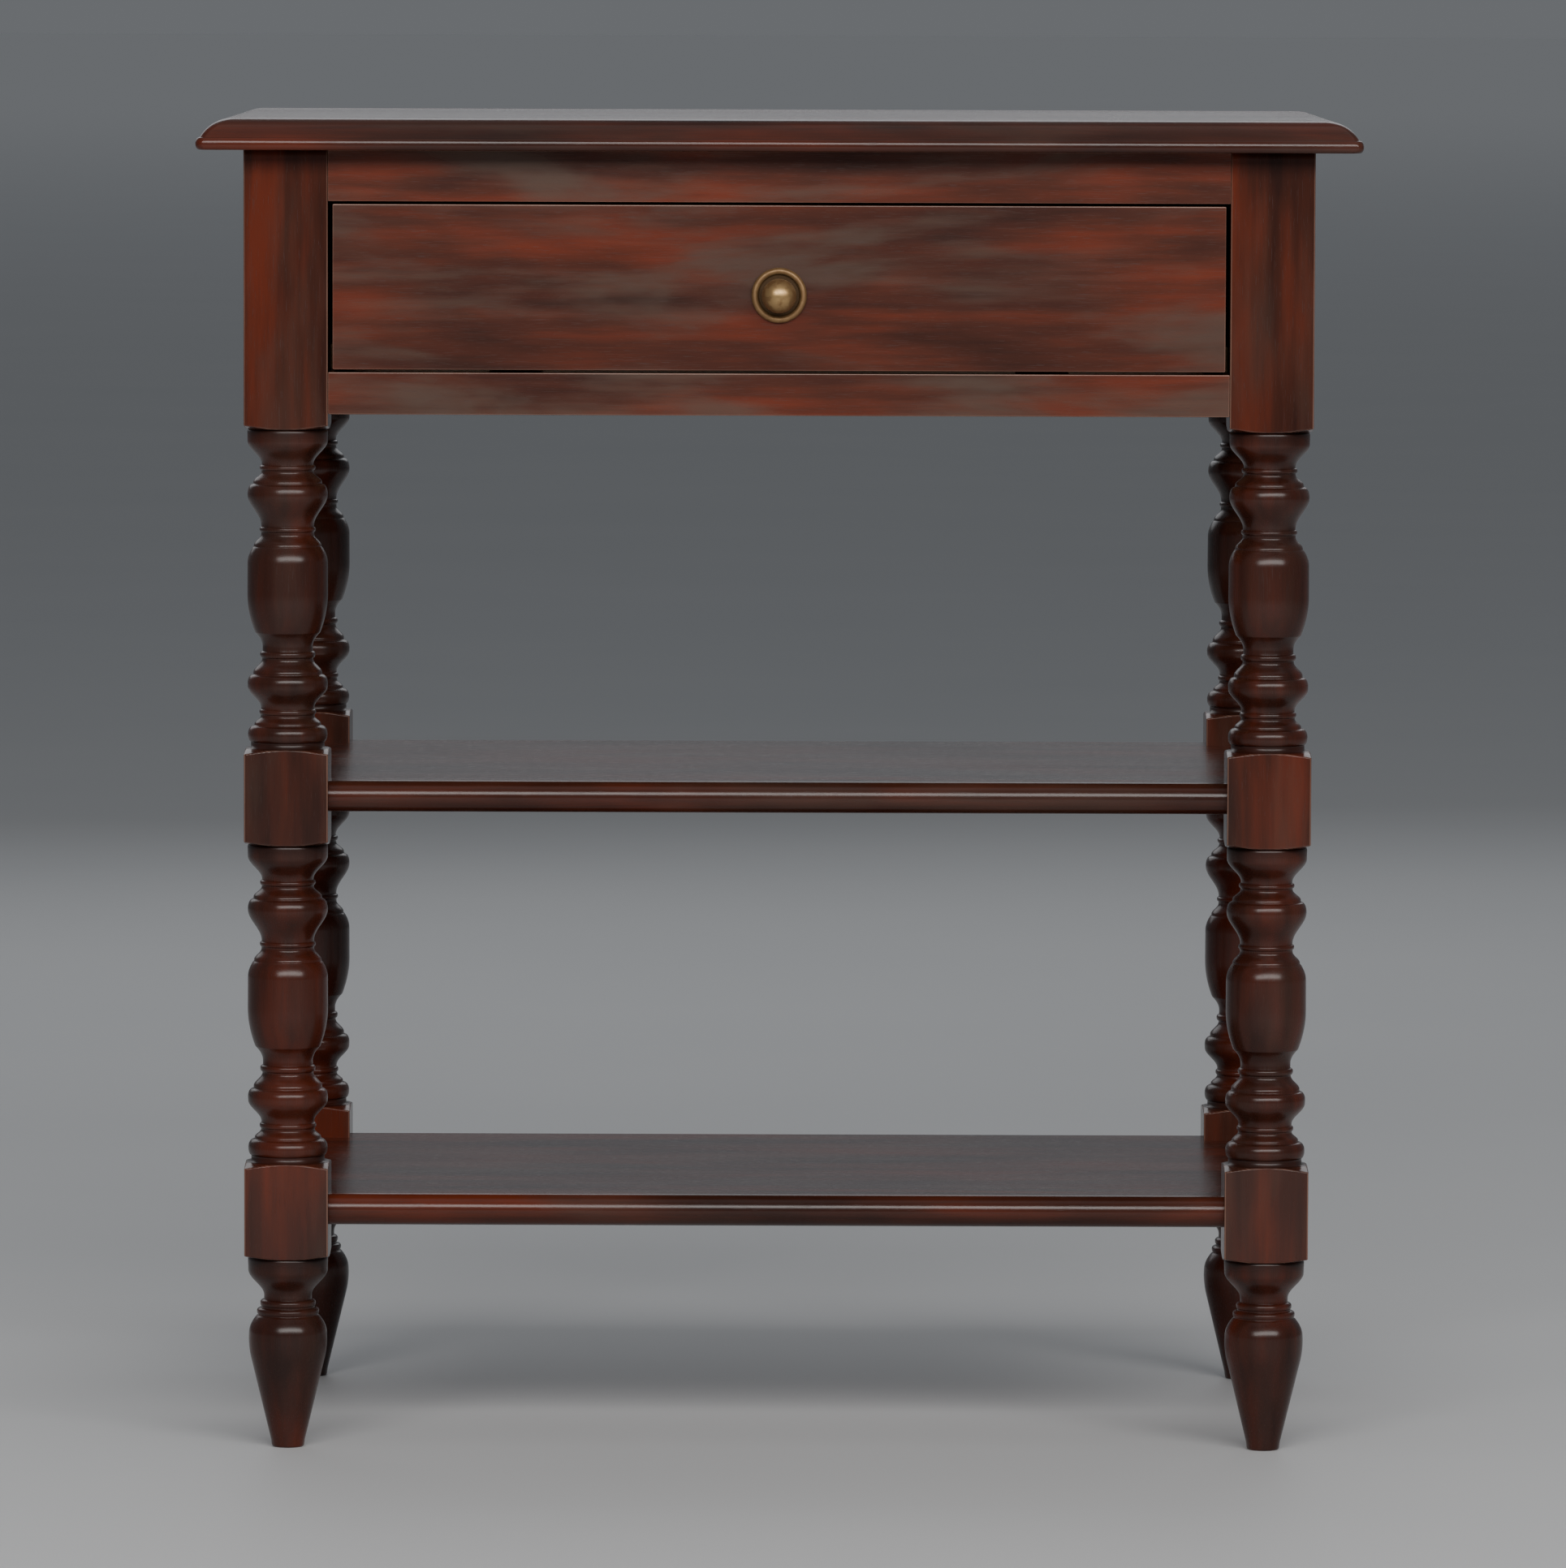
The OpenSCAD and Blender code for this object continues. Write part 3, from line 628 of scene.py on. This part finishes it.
def makeTop():
    low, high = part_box("table_top")
    halfX, halfY, thick = high.x, high.y, high.z - low.z
    bead, out, moulding = (topBoard[k] * mm for k in ("bead", "beadOut", "moulding"))
    start, steps = math.radians(topBoard["arcStart"]), topBoard["steps"]
    below, above = topBoard["border"]                           # flat rings inside the moulded edge
    edge = [(out + below * mm, 0)]                              # (how far in, how far up)
    for i in range(steps + 1):
        a = math.pi * (i / steps - 0.5)
        edge.append((out * (1 - math.cos(a)), bead / 2 * (1 + math.sin(a))))
    step, foot = out + topBoard["stepIn"] * mm, bead + topBoard["stepUp"] * mm
    for i in range(steps + 1):
        a = start + (math.pi / 2 - start) * i / steps
        rise = (math.sin(a) - math.sin(start)) / (1 - math.sin(start))
        inwards = 1 - math.cos(a) / math.cos(start)
        edge.append((step + (moulding - step) * inwards, foot + (thick - foot) * rise))
    edge.append((moulding + above * mm, thick))
    loops = [cornerRound(halfX - i, halfY - i, topBoard["corner"] * mm, low.z + z) for i, z in edge]
    piece = addObject("topBoard", loftLoops("topBoard", loops), finishes["top"])
    crispNormals(piece)
    keepPiece(piece, ["table_top"], "frame")
    print("top board moulded")


# A board whose edges are half round, with a notch at each corner for the leg's block
def makeShelf(name, node, notchX, notchY):
    low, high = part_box(node)
    half = (high.z - low.z) / 2
    loops = []
    for i in range(shelfSteps + 1):
        t = math.pi * i / shelfSteps - math.pi / 2
        inset, z = half * (1 - math.cos(t)), (low.z + high.z) / 2 + half * math.sin(t)
        x, y = high.x - inset, high.y - inset
        quarter = [(notchX, -y), (notchX, -notchY), (x, -notchY), (x, notchY), (notchX, notchY), (notchX, y)]
        loops.append([(px, py, z) for px, py in quarter] + [(-px, -py, z) for px, py in quarter])
    piece = addObject(name, loftLoops(name, loops), finishes["shelves"])
    crispNormals(piece)
    keepPiece(piece, [node], "frame")


makeTop()
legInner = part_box("leg_front_left")[1]                          # its corner nearest the middle
for shelfName in ("middle", "lower"):
    makeShelf(shelfName + "Shelf", shelfName + "_shelf", -legInner.x, -legInner.y)
print("shelves rounded")


# Whether an edge lies on the box of its board, where two of the box's planes meet
def onOutline(edge, low, high, near=0.02 * mm):
    planes = 0
    for axis in range(3):
        for side in (low, high):
            planes += all(abs(v.co[axis] - side[axis]) < near for v in edge.verts)
    return planes >= 2


arrisWearAndHighlight = {"up": 0.9, "elsewhere": 0.35, "upFrom": 0.3}     # edges wear, and where they face up they take more of the colour as a painted highlight


# A CAD board with its edges eased. The drawer's joints are too fine to ease, so there only the
# outline is.
def easedBoard(name, node, finish, ease, shortest=6.0, crispFrom=30):
    low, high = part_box(node)
    outlineOnly = bodyOf(node) == "drawer"
    bm = bmesh.new()
    bm.from_mesh(nodes[node].data)
    bmesh.ops.remove_doubles(bm, verts=bm.verts, dist=1e-6)
    bmesh.ops.dissolve_limit(bm, angle_limit=math.radians(0.5), verts=bm.verts, edges=bm.edges)
    crisp = [e for e in bm.edges if len(e.link_faces) == 2 and e.calc_length() > shortest * mm
             and e.calc_face_angle() > math.radians(crispFrom)
             and (not outlineOnly or onOutline(e, low, high))]
    made = bmesh.ops.bevel(bm, geom=crisp, offset=ease * mm, offset_type="OFFSET", segments=2, profile=0.5,
                           affect="EDGES", clamp_overlap=not outlineOnly)
    eased = set(made["faces"])
    mesh = bpy.data.meshes.new(name)
    bm.verts.ensure_lookup_table()
    bm.normal_update()
    values = []
    for v in bm.verts:
        wearAndHighlight = v.link_faces and all(f in eased for f in v.link_faces)
        # edges that face up get the stronger value: a painted highlight over the wear
        facing = "up" if v.normal.z > arrisWearAndHighlight["upFrom"] else "elsewhere"
        values.append(arrisWearAndHighlight[facing] if wearAndHighlight else 0.0)
    bm.to_mesh(mesh)
    bm.free()
    setFloat(mesh, "arris", values)
    smoothAll(mesh)
    piece = addObject(name, mesh, finishes[finish])
    crispNormals(piece)
    return keepPiece(piece, [node], bodyOf(node))


# name: CAD node, finish, slot, size of the eased arris in millimetres
boards = {
    "railUpper": ("drawer_rail_upper", "rails", "mahogany", 0.5),
    "railLower": ("drawer_rail_lower", "rails", "mahogany", 0.7),
    "apronLeft": ("side_apron_left", "sides", "mahogany", 0.5),
    "apronRight": ("side_apron_right", "sides", "mahogany", 0.5),
    "apronBack": ("back_apron", "rails", "mahogany", 0.5),
    "runnerLeft": ("drawer_runner_left", "liningY", "drawer_lining", 0.5),
    "runnerRight": ("drawer_runner_right", "liningY", "drawer_lining", 0.5),
    "guideLeft": ("drawer_guide_left", "liningY", "drawer_lining", 0.5),
    "guideRight": ("drawer_guide_right", "liningY", "drawer_lining", 0.5),
    "kickerLeft": ("drawer_kicker_left", "liningY", "drawer_lining", 0.5),
    "kickerRight": ("drawer_kicker_right", "liningY", "drawer_lining", 0.5),
    "stops": ("drawer_stops", "liningX", "drawer_lining", 0.5),
    "cleatBack": ("top_cleat_back", "liningX", "drawer_lining", 0.5),
    "drawerFront": ("drawer_front", "front", "mahogany", 0.8),
    "drawerSideLeft": ("drawer_side_left", "liningY", "drawer_lining", 0.3),
    "drawerSideRight": ("drawer_side_right", "liningY", "drawer_lining", 0.3),
    "drawerBack": ("drawer_back", "liningX", "drawer_lining", 0.4),
    "drawerBottom": ("drawer_bottom", "liningX", "drawer_lining", 0.3),
}
for boardName, (node, finish, slot, ease) in boards.items():
    easedBoard(boardName, node, finish, ease)
print("straight boards eased:", len(boards))


# Outlines from the drawer front outwards, in millimetres
knobTurning = {
    "plate": [("to", 2.3, 0.0), ("to", 15.0, 0.0), ("flat", 15.75, 0.7), ("to", 15.75, 1.2),
              ("steep", 13.9, 3.8), ("flat", 12.0, 2.5), ("to", 11.5, 1.6), ("to", 7.4, 1.6),
              ("to", 2.3, 1.6), ("to", 2.3, 0.0)],
    "knob": [("to", 0.0, 1.65), ("to", 6.6, 1.65), ("to", 6.6, 2.5), ("flat", 4.6, 5.6), ("to", 4.6, 6.4),
             ("flat", 9.8, 12.57), ("steep", 0.0, 21.0)],
    "around": 72, "softness": 0.25 * mm,
    "dish": 12.1, "dishFade": 0.6, "darkenedDepth": 8.0, "depthFade": 3.0,
    "rimAge": 0.85, "ballAge": 0.7, "ageReach": 13,
}


# From 0 at the limit to 1 once it is passed by the length of the fade
def fadeIn(past, fade):
    return min(1.0, max(0.0, past / fade))


def makeKnob():
    low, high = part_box("knob_backplate")
    onFront = Matrix.Translation((0, high.y, (low.z + high.z) / 2)) @ Matrix.Rotation(math.pi / 2, 4, "X")
    turn = knobTurning
    for title, name, node in (("knobPlate", "plate", "knob_backplate"), ("knobBall", "knob", "knob")):
        points = softCorners([Vector((p.x, -p.y)) for p in turnOutline(turn[name], 0)], turn["softness"])
        if name == "plate":                                     # darker in the dish and on the ball's neck and back: grime, with painted shade where the ball shades the plate and its neck
            grimeAndShade = [fadeIn(turn["dish"] * mm - p.x, turn["dishFade"] * mm) for p in points]
            age = [turn["rimAge"]] * len(points)
        else:
            grimeAndShade = [fadeIn(turn["darkenedDepth"] * mm - p.y, turn["depthFade"] * mm) for p in points]
            age = [min(turn["ballAge"], p.x / (turn["ageReach"] * mm)) for p in points]
        mesh = lathe(name, points, turn["around"], finishes["brass"], hollow=grimeAndShade, arris=age)
        mesh.transform(onFront)
        turnOutwards(mesh)
        keepPiece(addObject(title, mesh), [node], "drawer")
    print("knob turned")


makeKnob()


# Cuts a cross slot in a screw's head and sets one at each place, each with its slot turned its own way
def screwTree():
    tree = bpy.data.node_groups.new("screwSet", "GeometryNodeTree")
    sockets = {"Places": "Geometry", "Screw": "Object", "Slot Length": "Float", "Slot Width": "Float",
               "Slot Depth": "Float", "Tilt": "Vector", "Seed": "Int", "Finish": "Material"}
    g = openTree(tree, sockets)
    places, screw, length, width, depth, tilt, seed, finish = g.node("NodeGroupInput", out=tuple(sockets))
    body = g.node("GeometryNodeObjectInfo", values={"Object": screw}, out="Geometry")
    slotA = g.node("GeometryNodeMeshCube", values={"Size": g.vector(length, width, depth * 2)})
    slotB = g.node("GeometryNodeMeshCube", values={"Size": g.vector(width, length, depth * 2)})
    exact = {"solver": "EXACT"}                                 # the quicker solver loses the screw's body
    cross = g.node("GeometryNodeMeshBoolean", dict(exact, operation="UNION"), {"Mesh 2": slotA})
    tree.links.new(slotB.socket, cross.socket.node.inputs["Mesh 2"])
    cut = g.node("GeometryNodeMeshBoolean", dict(exact, operation="DIFFERENCE"),
                 {"Mesh 1": body, "Mesh 2": cross})
    turn = g.node("FunctionNodeRandomValue", {"data_type": "FLOAT"}, {"Seed": seed}, out=1) * math.pi
    spots = g.node("GeometryNodeMeshToPoints", values={"Mesh": places})
    screws = g.node("GeometryNodeInstanceOnPoints",
                    values={"Points": spots, "Instance": cut, "Rotation": tilt})
    spun = g.node("GeometryNodeRotateInstances",
                  values={"Instances": screws, "Rotation": g.vector(0, 0, turn)})
    made = g.node("GeometryNodeRealizeInstances", values={0: spun})
    made = g.node("GeometryNodeSetMaterial", values={"Geometry": made, "Material": finish})
    g.node("NodeGroupOutput", values={"Geometry": made})
    return tree


# A style gives the shank's and head's radius, the head's height and whether the head is countersunk.
# A tilt turns a screw that stands point up about X.
screwStyles = {
    "wood": (2.0, 4.0, 2.4, True),
    "panel": (1.5, 3.0, 1.8, True),
    "machine": (2.0, 4.0, 2.2, False),
}
screwSets = {
    "topScrews": {"node": "top_screws", "style": "wood", "tilt": 0},
    "guideScrews": {"node": "guide_screws", "style": "wood", "tilt": 180},
    "bottomScrews": {"node": "drawer_bottom_screws", "style": "panel", "tilt": 0},
    "knobScrew": {"node": "knob_screw", "style": "machine", "tilt": 90},
}
slotShape = {"length": 1.2, "width": 1.0, "depth": 1.0, "seed": 4}  # length in head radii


# "root" and "neck" are shares of the shank's radius; "plain" is the share of the length with no thread
screwThread = {"pitch": 1.15, "root": 0.74, "neck": 0.86, "plain": 0.22, "point": 2.6, "end": 0.8}


def screwOutline(shank, head, headHeight, countersunk, length, thread=screwThread):
    pitch, root, neck = thread["pitch"], shank * thread["root"], shank * thread["neck"]
    points = [(0, 0), (head * 0.6, 0), (head, 0.05)]
    if countersunk:
        points += [(head, 0.3), (shank, headHeight), (neck, headHeight + 0.4)]
    else:
        points += [(head, headHeight * 0.75), (head * 0.9, headHeight), (shank, headHeight)]
    end = length - thread["point" if countersunk else "end"]
    z = headHeight + (length * thread["plain"] if countersunk else 1.0)
    points.append((neck, z))
    while z + pitch < end:
        points += [(shank, z + pitch * 0.35), (shank, z + pitch * 0.45), (root, z + pitch * 0.9)]
        z += pitch
    points.append((root, end))
    if not countersunk:
        points.append((shank * 0.6, length))
    points.append((0.0, length))
    return [Vector((r * mm, z * mm)) for r, z in points]


# The boxes of the separate solids of a CAD node
def solidBoxes(node):
    bm = bmesh.new()
    bm.from_mesh(nodes[node].data)
    bmesh.ops.remove_doubles(bm, verts=bm.verts, dist=1e-6)
    left, boxes = set(bm.verts), []
    while left:
        waiting, places = [left.pop()], []
        while waiting:
            vert = waiting.pop()
            places.append(vert.co.copy())
            beside = {edge.other_vert(vert) for edge in vert.link_edges} & left
            left -= beside
            waiting += beside
        boxes.append((Vector([min(c) for c in zip(*places)]), Vector([max(c) for c in zip(*places)])))
    bm.free()
    return boxes


def leftFirst(place):
    x = round(place.x / mm)
    return (x > 0) - (x < 0), place.y


# Where the heads of a set's screws have their faces, and how long the screws are
def screwPlaces(node, tilt):
    ahead = Matrix.Rotation(tilt, 3, "X") @ Vector((0, 0, 1))
    heads, length = [], 0
    for low, high in solidBoxes(node):
        length = abs(ahead.dot(high - low))
        heads.append((low + high) / 2 - ahead * length / 2)
    return sorted(heads, key=leftFirst), round(length / mm, 2)


def makeScrews(around=28):
    tree = screwTree()
    for name, plan in screwSets.items():
        shank, head, headHeight, countersunk = screwStyles[plan["style"]]
        tilt = math.radians(plan["tilt"])
        heads, length = screwPlaces(plan["node"], tilt)
        outline = screwOutline(shank, head, headHeight, countersunk, length)
        single = addObject("screw", lathe("screw", outline, around, finishes["steel"]))
        places = bpy.data.meshes.new(name + "Places")
        places.from_pydata(heads, [], [])
        mesh = runTree(tree, places, {
            "Screw": single, "Finish": finishes["steel"], "Seed": slotShape["seed"],
            "Slot Length": slotShape["length"] * head * mm, "Slot Width": slotShape["width"] * mm,
            "Slot Depth": slotShape["depth"] * mm, "Tilt": (tilt, 0, 0)})
        mesh.name = name
        bpy.data.objects.remove(single)
        piece = addObject(name, mesh)
        crispNormals(piece, 30)
        keepPiece(piece, [plan["node"]], bodyOf(plan["node"]))
    print("screws set:", len(screwSets), "sets")


makeScrews()


for node in ("middle_shelf_dowels", "lower_shelf_dowels"):
    nodes[node].data.materials.clear()
    nodes[node].data.materials.append(finishes["liningX"])


def makeFloor(plan):
    mesh = bpy.data.meshes.new("floor")
    reach = plan["reach"]
    mesh.from_pydata([(-reach, -reach, 0), (reach, -reach, 0), (reach, reach, 0), (-reach, reach, 0)], [],
                     [(0, 1, 2, 3)])
    addObject("floor", mesh, floorMaterial(plan))


makeFloor(floorPlan)
